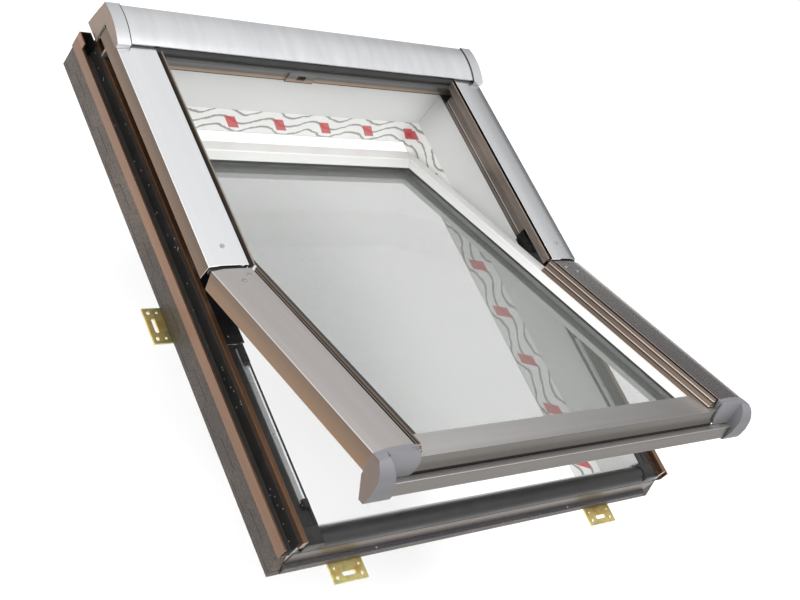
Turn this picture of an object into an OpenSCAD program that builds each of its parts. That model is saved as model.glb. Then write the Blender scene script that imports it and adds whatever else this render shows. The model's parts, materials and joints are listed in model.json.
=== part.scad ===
// Centre-pivot roof window with its frame. Lies in the plane of the roof:
// X across, Y up the slope, Z outward. The origin is in the batten plane under the
// fixing brackets, in the middle of their four outer screw holes.

/* [Overall] */
// width over the folds of the side covers
cover_w = 780; // [560:5:1180]
// pivot axis to the front edge of the hood
up_len = 414; // [300:2:700]
// pivot axis to the lower end of the sash covers
low_len = 405; // [300:2:700]
// opening of the sash in the rest pose
open_deg = 21.7; // [0:0.1:125]

/* [Heights above the frame's back] */
// pivot axis of the sash
axis_z = 130; // [124:0.5:140]
// fold line of the side covers
fold_z = 122; // [110:0.5:130]
// top of the white frame profile
frame_z = 65; // [50:1:80]
// depth of the frame lining below the battens
lining_d = 58; // [0:1:120]
// outer face of the white sash profile
rim_z = 107; // [100:0.5:112]
// room face of the white sash profile
sash_in_z = 68; // [66:0.5:80]

/* [Sheet and profiles] */
// sheet of the side covers and the hood
sheet = 1.5; // [0.8:0.1:3]
// width of the top face of a side cover
face_w = 66.5; // [50:0.5:80]
// width of its narrow outer facet
facet_w = 20.5; // [10:0.5:30]
// drop of the outer wall on the frame covers
wall_up = 27; // [15:1:40]
// drop of the outer wall on the sash covers
wall_low = 30; // [15:1:40]
// gap between the two cover ends, each side of the axis
end_gap = 2.5; // [1:0.1:6]
// half width of the sash behind the folds
sash_in = 68; // [66:0.5:75]
// width of the white sash profile
sash_w = 43; // [36:1:60]
// glass, one pane
pane_t = 4; // [3:0.5:8]
// space between the panes
pane_gap = 14; // [8:1:20]

/* [Hinge] */
// running clearance of the crescent
run_gap = 0.15; // [0.05:0.01:0.4]
// middle radius of the crescent rail
rail_r = 49; // [40:0.5:60]
// radial width of the crescent rail
rail_w = 6; // [4:0.5:10]

/* [Fixing brackets] */
// bracket plate thickness
brk_t = 3; // [2:0.5:5]
// bracket plate width
brk_w = 60; // [40:1:90]
// reach of the plate past the insulation
brk_out = 30; // [20:1:60]
// batten screw hole radius
brk_r = 3; // [2:0.25:5]
// distance of the end brackets from the centre line
brk_x = 270; // [120:5:480]

/* [Handle] */
// lever length
lever_l = 110; // [70:1:160]
// throw of the latch bolt
latch_throw = 8; // [4:0.5:12]

/* [Hidden] */

hw = cover_w/2;              // fold of the side covers
xs = hw - 47;                // inner top edge of the jamb
xn = hw - 63;                // narrowest point of the opening
xp = hw - 6;                 // outer face of the white jamb
xf = hw + 14;                // outer face of the insulation
xr = hw - sash_in;           // outer face of the white sash
hp0 = xs - 4.5;              // hinge plate, room side
hp1 = xs - 1.5;              // hinge plate, frame side
rail_x0 = hp0 - 7.5;         // free edge of the crescent
fw = max(face_w, hw - rail_x0 + sheet + 0.5); // the top face always hides the crescent
yn = up_len + 3;             // head, narrowest
yp = yn + (xp - xn);         // head, outer face
yf = yp + 14;                // head insulation, outer face
sn = -(low_len - 42);        // sill, narrowest
sp = -(low_len - 2);         // sill, outer face
sf = -(low_len + 6.5);       // sill insulation, outer face
ssc = (sn - sp)/(xp - xn);   // sill width over jamb width
y1 = yn + 7;                 // sash head, outer end
y0 = -(low_len + 7);         // sash sill, outer end
hsc = 1.32;                  // head bar width over stile width
glass_top = rim_z - 7;
glass_bot = glass_top - 2*pane_t - pane_gap;
reb = 19;                    // glass edge behind the sash face
fold_in = fold_z + 5;        // inner edge of the covers
crease = fold_z + 4;
ridge_z = fold_z + 6;
ridge_x = hw - fw - 9;
roll_r = 15;
hy = up_len;                 // hood front edge
hood_r = 124; hcx = hy + 50; hcz = fold_z + 21 - hood_r; hood_bot = fold_z - 37;
cap_w = 25;

e = 0.01;

module along_y(a, b) translate([0, b, 0]) rotate([90, 0, 0]) linear_extrude(b - a) children();
module along_x(a, b) translate([a, 0, 0]) rotate([90, 0, 90]) linear_extrude(b - a) children();
module right_of() children();
module left_of() mirror([1, 0, 0]) children();
module place() translate([0, -(yf + sf)/2, brk_t]) children();
module pose() translate([0, 0, axis_z]) rotate([-open_deg, 0, 0]) translate([0, 0, -axis_z]) children();
module plan(p, z0, z1) translate([0, 0, z0]) linear_extrude(z1 - z0) polygon(p);

// ---------- frame: white profiles, mitred ----------
module jamb_section(w = 1, top = frame_z) polygon([[(xp - xn)*w, -lining_d], [(xp - xn - 13)*w, -lining_d],
  [(xp - xn - 13)*w, 0], [0, 0], [0, top - 5], [10*w, top - 5], [10*w, top],
  [(xp - xs)*w + (frame_z - top)*16/frame_z*w, top], [(xp - xn)*w, 0]]);
module jamb() {
  intersection() {
    along_y(sp, yp) translate([xp, 0]) mirror([1, 0]) jamb_section();
    plan([[xp, sp], [xp, yp], [xn, yn], [xn, sn]], -lining_d - 1, frame_z + 1);
  }
}
module head_bar() {
  intersection() {
    along_x(-xp, xp) translate([yp, 0]) mirror([1, 0]) jamb_section();
    plan([[-xp, yp], [xp, yp], [xn, yn], [-xn, yn]], -lining_d - 1, frame_z + 1);
  }
}
module sill_bar() {
  intersection() {
    along_x(-xp, xp) translate([sp, 0]) jamb_section(ssc, frame_z - roll_r);
    plan([[-xp, sp], [xp, sp], [xn, sn], [-xn, sn]], -lining_d - 1, frame_z + 1);
  }
}
module frame_head() place() color([0.88, 0.88, 0.86]) head_bar();
module frame_sill() place() color([0.88, 0.88, 0.86]) sill_bar();
module frame_jamb_right() place() color([0.88, 0.88, 0.86]) jamb();
module frame_jamb_left() place() color([0.88, 0.88, 0.86]) left_of() jamb();

// ---------- insulation blocks ----------
ins_z = 42;
module ins_side() along_x(xp, xf) polygon([[sf, 0], [yf, 0], [yf, ins_z], [sf + 15, ins_z]]);
module insulation_right() place() color([0.42, 0.39, 0.36]) ins_side();
module insulation_left() place() color([0.42, 0.39, 0.36]) left_of() ins_side();
module insulation_head() place() color([0.42, 0.39, 0.36]) along_x(-xp, xp) polygon([[yp, 0], [yf, 0], [yf, ins_z], [yp, ins_z]]);
module insulation_sill() place() color([0.42, 0.39, 0.36]) along_x(-xp, xp) polygon([[sf, 0], [sp, 0], [sp, 16], [sf, 16]]);

// ---------- flashing flange, gutter and inner lip ----------
fl_z = 62;
module flange() along_y(sp, yf) polygon([[xp + 2, ins_z], [xf + 2, ins_z], [xf + 2, fl_z], [xf - 1.5, fl_z],
  [xf - 1.5, fl_z - 1.5], [xf + 0.5, fl_z - 1.5], [xf + 0.5, ins_z + 1.5], [xp + 2, ins_z + 1.5]]);
module flange_right() place() color([0.40, 0.32, 0.27]) flange();
module flange_left() place() color([0.40, 0.32, 0.27]) left_of() flange();
module gutter() along_y(sp + 2, yf - 8) polygon([[xp, ins_z + 1.5], [xf + 0.5, ins_z + 1.5], [xf + 0.5, ins_z + 9],
  [xf - 2, ins_z + 9], [xf - 4, ins_z + 4.5], [xp + 5, ins_z + 4.5], [xp + 2.2, ins_z + 8], [xp + 2.2, frame_z + 6], [xp, frame_z + 6]]);
module gutter_right() place() color([0.05, 0.05, 0.05]) gutter();
module gutter_left() place() color([0.05, 0.05, 0.05]) left_of() gutter();
module lip() along_y(sp, yp) polygon([[xp - 10, frame_z - 5], [xp, frame_z - 5], [xp, frame_z + 12], [xp - 8, frame_z + 12],
  [xp - 8, frame_z + 2], [xp - 10, frame_z + 2]]);
module inner_lip_right() place() color([0.40, 0.32, 0.27]) lip();
module inner_lip_left() place() color([0.40, 0.32, 0.27]) left_of() lip();

// ---------- rebate gasket, rail, guide blocks ----------
rb = frame_z;
rail_y0 = -(low_len - 60); rail_y1 = -100;
module rebate_gasket() difference() {
  along_y(sp + 25, yp - 41) polygon([[xs, rb], [xp - 10, rb], [xp - 10, rb + 2], [xs + 15, rb + 2],
    [xs + 15, rb + 0.8], [xs + 4, rb + 0.8], [xs + 4, rb + 3], [xs, rb + 3]]);
  translate([xs - 1, -92, rb - 1]) cube([60, 184, 6]);
}
module rebate_gasket_right() place() color([0.05, 0.05, 0.05]) rebate_gasket();
module rebate_gasket_left() place() color([0.05, 0.05, 0.05]) left_of() rebate_gasket();
module rail() along_y(rail_y0, rail_y1) polygon([[xs + 4, rb + 0.8], [xs + 15, rb + 0.8], [xs + 15, rb + 4],
  [xs + 13.8, rb + 4], [xs + 13.8, rb + 2.2], [xs + 5.2, rb + 2.2], [xs + 5.2, rb + 4], [xs + 4, rb + 4]]);
module rail_right() place() color([0.78, 0.80, 0.82]) rail();
module rail_left() place() color([0.78, 0.80, 0.82]) left_of() rail();
module guide_block() {
  translate([xs + 5.2, -126, rb + 2.2]) cube([8.6, 30, 8]);
  translate([xs + 5.2, rail_y0 - 8, rb + 0.8]) cube([8.6, 8, 9]);
  translate([xs + 5.2, rail_y0 - 8, rb + 2.2]) cube([8.6, 12, 7.6]);
}
module guide_blocks() place() color([0.06, 0.06, 0.06]) { guide_block(); left_of() guide_block(); }

// ---------- sill: cladding and round gasket ----------
module sill_roll_gasket() place() color([0.06, 0.06, 0.07]) difference() {
  along_x(-xs + 0.5, xs - 0.5) intersection() {
    translate([sp + roll_r - 2, frame_z - roll_r]) circle(roll_r, $fn = 64);
    translate([sp - 10, frame_z - roll_r]) square([80, roll_r + 2]);
  }
  along_x(-xs - 3, xs + 3) translate([sp + roll_r - 2, frame_z - roll_r]) intersection() {
    circle(roll_r - 3, $fn = 64);
    translate([-30, 0.8]) square([60, 30]);
  }
}
module sill_cladding() place() color([0.30, 0.25, 0.22]) along_x(-xp, xp) polygon([[sp, 16], [sp - 2, 16], [sp - 2, frame_z - roll_r + e - 3],
  [sp, frame_z - roll_r - 1], [sp, 16]]);

// ---------- carriers above the frame ----------
lg0 = xs - 2; lg1 = xs + 2; web = ridge_z - 16;
hing_y = 95;
module up_carrier() union() {
  along_y(end_gap, hy - 5.5) polygon([[ridge_x - 1.5, web], [ridge_x + 1.5, web], [ridge_x + 1.5, ridge_z - 1],
    [ridge_x + 0.5, ridge_z], [ridge_x - 0.5, ridge_z], [ridge_x - 1.5, ridge_z - 1]]);
  along_y(hing_y, hy - 5.5) polygon([[ridge_x - 1.5, web], [lg0, web], [lg0, frame_z + 3], [lg1, frame_z + 3], [lg1, web],
    [hw - 8, web], [hw - 8, web + 2.5], [hw - 20.5, web + 2.5], [hw - 20.5, crease - sheet], [hw - 24, crease - sheet],
    [hw - 24, web + 2.5], [ridge_x - 1.5, web + 2.5]]);
}
module upper_carrier_right() place() color([0.42, 0.36, 0.32]) up_carrier();
module upper_carrier_left() place() color([0.42, 0.36, 0.32]) left_of() up_carrier();
hl0 = hy - 3;
module head_carrier() place() color([0.45, 0.42, 0.39]) difference() {
  along_x(-(hw - 2), hw - 2) polygon([[hl0 - 2.5, rim_z + 1.5], [hl0, rim_z + 1.5], [hl0, web], [yp - 41, web], [yp - 41, frame_z],
    [yp - 37, frame_z], [yp - 37, web], [yp + 12, web], [yp + 12, ins_z], [yf, ins_z], [yf, web + 2.5], [hl0 - 2.5, web + 2.5]]);
  translate([-9.5, yp - 50, 71]) cube([19, 20, 11]);
  for (s = [-1, 1]) translate([s*(hw - 2) - 20, yp - 30, -1]) cube([40, 80, web - 12]);
  // over the inner lip and the gutter
  for (s = [-1, 1]) translate([s*(xp + 3) - 13.5, yp - 45, -1]) cube([27, 12, frame_z + 13.5]);
}

// ---------- side covers ----------
module cover_section(drop) polygon([[hw, fold_z - drop], [hw, fold_z], [hw - facet_w, crease], [hw - fw, fold_in],
  [hw - fw, fold_in - 9], [hw - fw + sheet, fold_in - 9], [hw - fw + sheet, fold_in - sheet],
  [hw - facet_w, crease - sheet], [hw - sheet, fold_z - sheet + 0.3], [hw - sheet, fold_z - drop]]);
cover_in = 47;               // reach of an upper cover under the hood
module up_cover() along_y(end_gap, hy + cover_in) cover_section(wall_up);
module upper_cover_right() place() color([0.80, 0.81, 0.82]) up_cover();
module upper_cover_left() place() color([0.80, 0.81, 0.82]) left_of() up_cover();
module pan_screw(p) translate(p) { cylinder(r = 3.4, h = 1.4, $fn = 32); translate([0, 0, -10]) cylinder(r = 1.6, h = 10, $fn = 24); }
module upper_cover_screws() place() color([0.7, 0.7, 0.7]) for (s = [-1, 1]) pan_screw([s*(hw - 34), 36, crease + 0.4]);

// ---------- hood ----------
module hood_back(off) polygon([[hy - 10, 60], [hy - 10, 220], [hy + 71.5 - off, 220], [hy + 71.5 - off, fold_z + 17],
  [hy + 78.5 - off, fold_z - 16], [hy + 82 - off, hood_bot], [hy + 82 - off, 60]]);
module hood_shape(r, off, bot) intersection() {
  translate([hcx, hcz]) circle(r, $fn = 96);
  hood_back(off);
  translate([hy, bot]) square([140, 120]);
}
module hood() place() color([0.82, 0.83, 0.84]) difference() {
  along_x(-(hw - 22), hw - 22) hood_shape(hood_r, 0, hood_bot);
  along_x(-hw, hw) intersection() {
    translate([hcx, hcz]) circle(hood_r - sheet - 0.5, $fn = 96);
    hood_back(2);
    translate([hy - 10, hood_bot - 20]) square([200, 200]);
  }
  translate([-hw, hy - 5, hood_bot - 5]) cube([2*hw, 75, web + 5 - hood_bot]);
}
module hood_seal() place() color([0.16, 0.16, 0.17]) difference() {
  along_x(-(hw - 24), hw - 24) intersection() {
    polygon([[hl0, web + 2.5], [hy + 8, web + 2.5], [hy + 8, fold_z + 40], [hy + 1.8, fold_z + 40], [hy + 1.8, fold_z + 4], [hl0, fold_z - 1]]);
    translate([hcx, hcz]) circle(hood_r - sheet - 0.5, $fn = 96);
  }
  // over the side covers
  for (s = [0, 1]) mirror([s, 0, 0]) along_y(hy - 10, hy + 8.2) polygon([[hw + 1, 60], [hw + 1, fold_z + 0.2],
    [hw - facet_w, crease + 0.2], [hw - fw - 0.3, fold_in + 0.2], [hw - fw - 0.3, 60]]);
}
arch_r = 80;
module hood_cap() difference() {
  along_x(hw - 22, hw + 3) intersection() {
    translate([hcx, hcz]) circle(hood_r + 1.5, $fn = 96);
    hood_back(-1.5);
    translate([hy - 4, hood_bot]) square([160, 140]);
  }
  // room for the side cover passing in under the front
  along_y(hy - 20, hy + cover_in + 0.4) polygon([[hw + 0.4, 60], [hw + 0.4, fold_z + 0.4], [hw - facet_w, crease + 0.4], [hw - 60, fold_in + 0.4], [hw - 60, 60]]);
  // the cover's outer wall shows up to an arched edge
  along_x(hw + 0.3, hw + 5) intersection() {
    translate([hy + cover_in - arch_r, fold_z - 14]) circle(arch_r, $fn = 96);
    translate([hy - 60, 50]) square([200, fold_z + 0.4 - 50]);
  }
  // hollow over the carrier
  along_x(hw - 30, hw - 1.5) polygon([[hy - 20, 60], [hy + 80, 60], [hy + 80, web + 3], [hy - 20, web + 3]]);
  along_x(hw - 30, hw + 0.6) intersection() {
    translate([hcx, hcz]) circle(hood_r - 2.5, $fn = 96);
    hood_back(1);
    translate([hy + 4, web]) square([160, 140]);
  }
}
module hood_cap_right() place() color([0.72, 0.73, 0.75]) hood_cap();
module hood_cap_left() place() color([0.72, 0.73, 0.75]) left_of() hood_cap();
module gutter_end() difference() {
  translate([xp + 2, yf - 26, ins_z + 1.5]) cube([xf - xp, 26, 30]);
  translate([xp + 4, yf - 30, ins_z + 5]) cube([xf - xp - 4, 28, 30]);
}
module gutter_ends() place() color([0.40, 0.30, 0.25]) { difference() { union() { gutter_end(); left_of() gutter_end(); }
    for (s = [0, 1]) mirror([s, 0, 0]) { gutter(); flange(); } } }

// ---------- fixing brackets ----------
module brk_plate(l) difference() {
  translate([-brk_w/2, 0, 0]) cube([brk_w, l, brk_t]);
  // oblong slot near the outer edge
  translate([-9, l - 12, -1]) { cylinder(r = 3.2, h = brk_t + 2, $fn = 32); translate([18, 0, 0]) cylinder(r = 3.2, h = brk_t + 2, $fn = 32);
    translate([0, -3.2, 0]) cube([18, 6.4, brk_t + 2]); }
  for (x = [-22, 22]) translate([x, l - 8, -1]) cylinder(r = brk_r, h = brk_t + 2, $fn = 32);
  for (x = [-22, 22]) translate([x, l - 22, -1]) cylinder(r = 2.2, h = brk_t + 2, $fn = 24);
  for (x = [-15, 15]) translate([x, scr_y, -1]) { cylinder(r = 2.4, h = brk_t + 2, $fn = 24); cylinder(r = 4.2, h = 2.7, $fn = 32); }
}
brk_in = 20; scr_y = 9;
brk_l = brk_in + brk_out;
module bracket() translate([0, -brk_in, -brk_t]) brk_plate(brk_l);
module at_brackets() {
  for (s = [-1, 1]) {
    translate([s*brk_x, yf, 0]) children();
    translate([s*brk_x, sf, 0]) rotate([0, 0, 180]) children();
    translate([s*xf, -12, 0]) rotate([0, 0, -90*s]) children();
  }
}
module fixing_brackets() place() color([0.80, 0.68, 0.36]) at_brackets() bracket();
module bracket_screws() place() color([0.75, 0.70, 0.5]) at_brackets() for (x = [-15, 15]) translate([x, scr_y - brk_in, -brk_t]) {
  cylinder(r = 4, h = 1.7, $fn = 32);
  cylinder(r = 2.2, h = brk_t + 12, $fn = 24); }

// ---------- hinge ----------
module sector(r0, r1, a0, a1) intersection() {
  difference() { circle(r1, $fn = 96); circle(r0, $fn = 96); }
  // angles run from straight down towards the lower end (-y)
  polygon([[0, 0], [-200*sin(a0), -200*cos(a0)], [-283*sin((2*a0 + a1)/3), -283*cos((2*a0 + a1)/3)],
    [-283*sin((a0 + 2*a1)/3), -283*cos((a0 + 2*a1)/3)], [-200*sin(a1), -200*cos(a1)]]);
}
module hinge_plate() {
  along_x(hp0, hp1) difference() {
    intersection() { translate([0, axis_z]) circle(axis_z - frame_z + 4, $fn = 96); translate([-80, frame_z + 1]) square([160, axis_z - 10 - frame_z]); }
    translate([0, axis_z]) circle(30, $fn = 64);
  }
  difference() {
    translate([hp0, -90, frame_z]) cube([xp - 10 - hp0, 180, 3]);
    for (y = [-78, 78]) translate([xs + 18, y, frame_z - 1]) cylinder(r = 2.5, h = 6, $fn = 24);
  }
  along_x(rail_x0, hp0 + 0.5) translate([0, axis_z]) sector(rail_r - rail_w/2, rail_r + rail_w/2, -80, 80);
}
module hinge_plate_right() place() color([0.35, 0.36, 0.38]) hinge_plate();
module hinge_plate_left() place() color([0.35, 0.36, 0.38]) left_of() hinge_plate();
module hinge_arm() difference() {
  union() {
    along_x(xr, xr + 3.5) translate([0, axis_z]) sector(26, rail_r + 8, -69, -8);
    along_x(xr + 3, hp0 - 0.6) translate([0, axis_z]) sector(rail_r - 8, rail_r + 8, -69, -45);
  }
  along_x(rail_x0 - run_gap*2, hp0 + 5) translate([0, axis_z]) sector(rail_r - rail_w/2 - run_gap, rail_r + rail_w/2 + run_gap, -85, -20);
  // clear of the inner wall of the upper cover when the sash is shut
  translate([xr - 1, 0, fold_in - 10]) cube([30, 100, 60]);
}
module hinge_arm_right() place() color([0.6, 0.62, 0.64]) pose() hinge_arm();
module hinge_arm_left() place() color([0.6, 0.62, 0.64]) pose() left_of() hinge_arm();

// ---------- sash: white profiles, mitred ----------
module sash_section(w = 1) polygon([[0, sash_in_z], [0, rim_z], [23*w, rim_z], [24*w, rim_z - 2], [sash_w*w, glass_top + 1.5],
  [sash_w*w, glass_top], [reb*w, glass_top], [reb*w, sash_in_z]]);
module stile() intersection() {
  along_y(y0, y1) translate([xr, 0]) mirror([1, 0]) sash_section();
  plan([[xr, y0], [xr, y1], [xr - sash_w, y1 - sash_w*hsc], [xr - sash_w, y0 + sash_w]], sash_in_z - 1, rim_z + 1);
}
module sash_stile_right() place() color([0.90, 0.90, 0.88]) pose() stile();
module sash_stile_left() place() color([0.90, 0.90, 0.88]) pose() left_of() stile();
module sash_head() place() color([0.90, 0.90, 0.88]) pose() difference() {
  intersection() {
    along_x(-xr, xr) translate([y1, 0]) mirror([1, 0]) sash_section(hsc);
    plan([[-xr, y1], [xr, y1], [xr - sash_w, y1 - sash_w*hsc], [-xr + sash_w, y1 - sash_w*hsc]], sash_in_z - 1, rim_z + 1);
  }
  translate([-8.3, y1 - 23.5, 71.7]) cube([16.6, 30, 8.6]);
}
module sash_sill() place() color([0.90, 0.90, 0.88]) pose() intersection() {
  along_x(-xr, xr) translate([y0, 0]) sash_section();
  plan([[-xr, y0], [xr, y0], [xr - sash_w, y0 + sash_w], [-xr + sash_w, y0 + sash_w]], sash_in_z - 1, rim_z + 1);
}
gx = xr - reb; gy0 = y0 + reb; gy1 = y1 - reb*hsc;
module ring(x, a, b, w, wt, z0, z1) translate([0, 0, z0]) linear_extrude(z1 - z0) difference() {
  translate([-x, a]) square([2*x, b - a]);
  translate([-x + w, a + w]) square([2*x - 2*w, b - a - w - wt]);
}
module glazing_bead() place() color([0.90, 0.90, 0.88]) pose() ring(gx, gy0, gy1, 26, 26*hsc, sash_in_z, glass_bot);
module outer_pane() place() color([0.78, 0.80, 0.79, 0.35]) pose() translate([-gx, gy0, glass_top - pane_t]) cube([2*gx, gy1 - gy0, pane_t]);
module inner_pane() place() color([0.78, 0.80, 0.79, 0.35]) pose() translate([-gx, gy0, glass_bot]) cube([2*gx, gy1 - gy0, pane_t]);
module glass_spacer() place() color([0.55, 0.56, 0.57]) pose() ring(gx - 4, gy0 + 4, gy1 - 4, 8, 8, glass_bot + pane_t, glass_top - pane_t);
module glazing_gasket() place() color([0.2, 0.17, 0.15]) pose() ring(xr - sash_w, y0 + sash_w, y1 - sash_w*hsc, 6, 6, glass_top, glass_top + 1.3);

// ---------- sash: carriers and covers ----------
lend = -low_len;
module low_carrier() difference() {
  along_y(lend, -end_gap) polygon([[xr - 22, rim_z], [hw - 5, rim_z], [hw - 5, rim_z + 2.3], [hw - 20.5, rim_z + 2.3],
    [hw - 20.5, crease - sheet], [hw - 24, crease - sheet], [hw - 24, rim_z + 2.3], [ridge_x + 3, rim_z + 2.3],
    [ridge_x + 1.5, ridge_z - 1], [ridge_x + 0.5, ridge_z], [ridge_x - 0.5, ridge_z], [ridge_x - 1.5, ridge_z - 1]]);
  translate([xr + 2, -hing_y, rim_z - 5]) cube([120, hing_y + 5, 40]);
  along_x(0, bx + 0.2) rail_section();
}
module lower_carrier_right() place() color([0.42, 0.36, 0.32]) pose() low_carrier();
module lower_carrier_left() place() color([0.42, 0.36, 0.32]) pose() left_of() low_carrier();
module low_cover() along_y(lend, -end_gap) cover_section(wall_low);
module lower_cover_right() place() color([0.62, 0.58, 0.54]) pose() low_cover();
module lower_cover_left() place() color([0.62, 0.58, 0.54]) pose() left_of() low_cover();
module lower_cover_screws() place() color([0.6, 0.57, 0.53]) pose() for (s = [-1, 1]) { pan_screw([s*(hw - 52), -20, crease + 0.6]); pan_screw([s*(hw - 36), -34, crease + 0.4]); }

// ---------- bottom rail, drip ledge, end caps ----------
bx = hw - fw - 4;
bz = fold_z - 9;
module rail_section() polygon([[y0 + sash_w + 1, rim_z], [y0 + sash_w + 1, rim_z + 1.8],
  [y0 - 2.5, bz], [y0 - 2.5, bz - 27], [y0 - 0.2, bz - 27], [y0 - 0.2, bz - 3], [y0, rim_z]]);
module bottom_rail() place() color([0.62, 0.60, 0.58]) pose() along_x(-bx, bx) rail_section();
ledge_x = hw - 31;
module ledge_section() polygon([[y0, 84], [y0 - 14, 87], [y0 - 16, 87], [y0 - 16, 65.5], [y0 - 13.5, 65.5],
  [y0 - 13.5, 76], [y0, 76]]);
module drip_ledge() place() color([0.55, 0.53, 0.50]) pose() along_x(-ledge_x, ledge_x) ledge_section();
// an end cap is a plate with a rounded foot and a flared skirt outside it
cap_r = 30.5; cap_zc = fold_z - 26; skirt_z = fold_z - 60;
cap_x = max(xr, bx + 0.7) + 0.3; // clear of the sash profile and of the bottom rail
module cap_plate() {
  along_y(y0 + 0.5, lend) polygon([[bx + 1, fold_z + 4.8], [bx + 0.8, rim_z + 1], [cap_x, rim_z + 0.6],
    [cap_x, fold_z - 27], [cap_x + 5, fold_z - 34.7], [hw - 18, fold_z - 34.7], [hw - 18, crease + 0.2],
    [hw - 25, crease + 1.6], [hw - 40, crease + 2.6], [hw - 55, crease + 2.4]]);
  along_y(y0 - 3, y0 + 1) intersection() { cap_front(); translate([cap_x, 0]) square([100, 200]); }
  along_y(y0 - 5.6, y0 - 2.7) cap_front();
}
// the rounded front that laps over the end of the bottom rail
module cap_front() polygon([[bx + 9, fold_z + 4.8], [bx + 2, fold_z + 2], [bx - 3, fold_z - 5], [bx - 5, fold_z - 14],
  [bx - 5, fold_z - 22], [bx - 2, fold_z - 30], [bx + 4, fold_z - 34.7], [hw - 18, fold_z - 34.7], [hw - 18, crease + 0.2],
  [hw - 25, crease + 1.6], [hw - 40, crease + 2.6], [hw - 55, crease + 2.4]]);
module cap_skirt() intersection() {
  along_x(hw - 45, hw + 8) union() {
    intersection() { translate([lend + 1, cap_zc]) circle(cap_r, $fn = 96); translate([lend - 60, cap_zc - 0.5]) square([60, 60]); }
    polygon([[lend, cap_zc], [lend + 1 - cap_r, cap_zc], [lend - 29, cap_zc - 14], [lend - 26, cap_zc - 26],
      [lend - 23, skirt_z], [lend - 14, skirt_z], [lend, cap_zc - 6]]);
  }
  along_y(lend - 60, lend) polygon([[hw - 18, crease + 0.3], [hw - 37.5, skirt_z + 3.5], [hw - 38, skirt_z],
    [hw + 6, skirt_z], [hw + 3, fold_z - 22], [hw + 2, fold_z - 4], [hw, fold_z + 0.3]]);
}
module sash_cap() difference() {
  union() { cap_plate(); cap_skirt(); }
  along_x(0, ledge_x) ledge_section();
}
module sash_cap_right() place() color([0.45, 0.45, 0.46]) pose() sash_cap();
module sash_cap_left() place() color([0.45, 0.45, 0.46]) pose() left_of() sash_cap();

// ---------- lock, handle, latch ----------
lock_y = y1 - 20;
module lock_case() place() color([0.80, 0.80, 0.80]) pose() difference() {
  translate([-55, lock_y - 14, sash_in_z - 5]) cube([110, 30, 5]);
  translate([0, lock_y, sash_in_z - 20]) cylinder(r = 8.06, h = 17.5, $fn = 64);
}
module handle() place() color([0.78, 0.78, 0.78]) pose() union() {
  translate([0, lock_y, sash_in_z - 17]) cylinder(r = 8, h = 14.3, $fn = 64);
  translate([0, lock_y, sash_in_z - 10]) cylinder(r = 11, h = 4.6, $fn = 64);
  translate([0, lock_y - 6, sash_in_z - 17]) cube([lever_l, 12, 7]);
  translate([0, lock_y, sash_in_z - 17]) cylinder(r = 10, h = 7, $fn = 64);
  translate([lever_l, lock_y, sash_in_z - 17]) cylinder(r = 6, h = 7, $fn = 48);
}
module latch_bolt() place() color([0.7, 0.7, 0.72]) pose() translate([-8, y1 - 22.5, 72]) cube([16, 22, 8]);
module strike_plate() place() color([0.6, 0.62, 0.64]) difference() {
  translate([-30, yp - 44, frame_z]) cube([60, 3, 24]);
  translate([-9, yp - 50, 71.3]) cube([18, 12, 9.4]);
}

frame_head();
frame_sill();
frame_jamb_left();
frame_jamb_right();
insulation_head();
insulation_sill();
insulation_left();
insulation_right();
flange_left();
flange_right();
gutter_left();
gutter_right();
inner_lip_left();
inner_lip_right();
rebate_gasket_left();
rebate_gasket_right();
rail_left();
rail_right();
guide_blocks();
sill_roll_gasket();
sill_cladding();
head_carrier();
upper_carrier_left();
upper_carrier_right();
upper_cover_left();
upper_cover_right();
upper_cover_screws();
hood();
hood_cap_left();
hood_cap_right();
hood_seal();
gutter_ends();
fixing_brackets();
bracket_screws();
hinge_plate_left();
hinge_plate_right();
strike_plate();
sash_head();
sash_sill();
sash_stile_left();
sash_stile_right();
glazing_bead();
outer_pane();
inner_pane();
glass_spacer();
glazing_gasket();
lower_carrier_left();
lower_carrier_right();
lower_cover_left();
lower_cover_right();
lower_cover_screws();
bottom_rail();
drip_ledge();
sash_cap_left();
sash_cap_right();
hinge_arm_left();
hinge_arm_right();
lock_case();
handle();
latch_bolt();
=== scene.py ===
import json
import math

import bpy
from mathutils import Matrix, Vector


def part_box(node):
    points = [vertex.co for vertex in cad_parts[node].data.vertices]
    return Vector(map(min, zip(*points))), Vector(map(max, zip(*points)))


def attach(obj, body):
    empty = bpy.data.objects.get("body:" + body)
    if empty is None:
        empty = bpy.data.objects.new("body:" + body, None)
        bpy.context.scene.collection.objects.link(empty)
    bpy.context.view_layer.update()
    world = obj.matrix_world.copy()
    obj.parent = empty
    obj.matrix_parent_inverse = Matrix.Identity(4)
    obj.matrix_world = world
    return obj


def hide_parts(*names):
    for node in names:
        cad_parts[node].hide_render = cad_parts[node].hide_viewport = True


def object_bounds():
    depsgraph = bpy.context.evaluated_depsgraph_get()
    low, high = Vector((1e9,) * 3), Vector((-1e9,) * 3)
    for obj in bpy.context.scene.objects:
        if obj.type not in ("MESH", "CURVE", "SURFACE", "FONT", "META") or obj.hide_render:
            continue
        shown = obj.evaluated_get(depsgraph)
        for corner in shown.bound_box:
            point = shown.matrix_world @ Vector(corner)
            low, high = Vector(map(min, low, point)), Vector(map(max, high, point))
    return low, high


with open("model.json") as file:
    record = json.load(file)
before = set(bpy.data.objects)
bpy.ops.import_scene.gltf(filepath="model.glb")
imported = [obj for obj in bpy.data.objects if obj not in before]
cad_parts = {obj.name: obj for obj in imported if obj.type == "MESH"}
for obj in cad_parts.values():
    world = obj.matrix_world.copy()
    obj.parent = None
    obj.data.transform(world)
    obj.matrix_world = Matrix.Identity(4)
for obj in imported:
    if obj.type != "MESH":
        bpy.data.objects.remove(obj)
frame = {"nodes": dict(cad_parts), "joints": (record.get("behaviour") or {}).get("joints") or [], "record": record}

cad_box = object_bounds()

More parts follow.
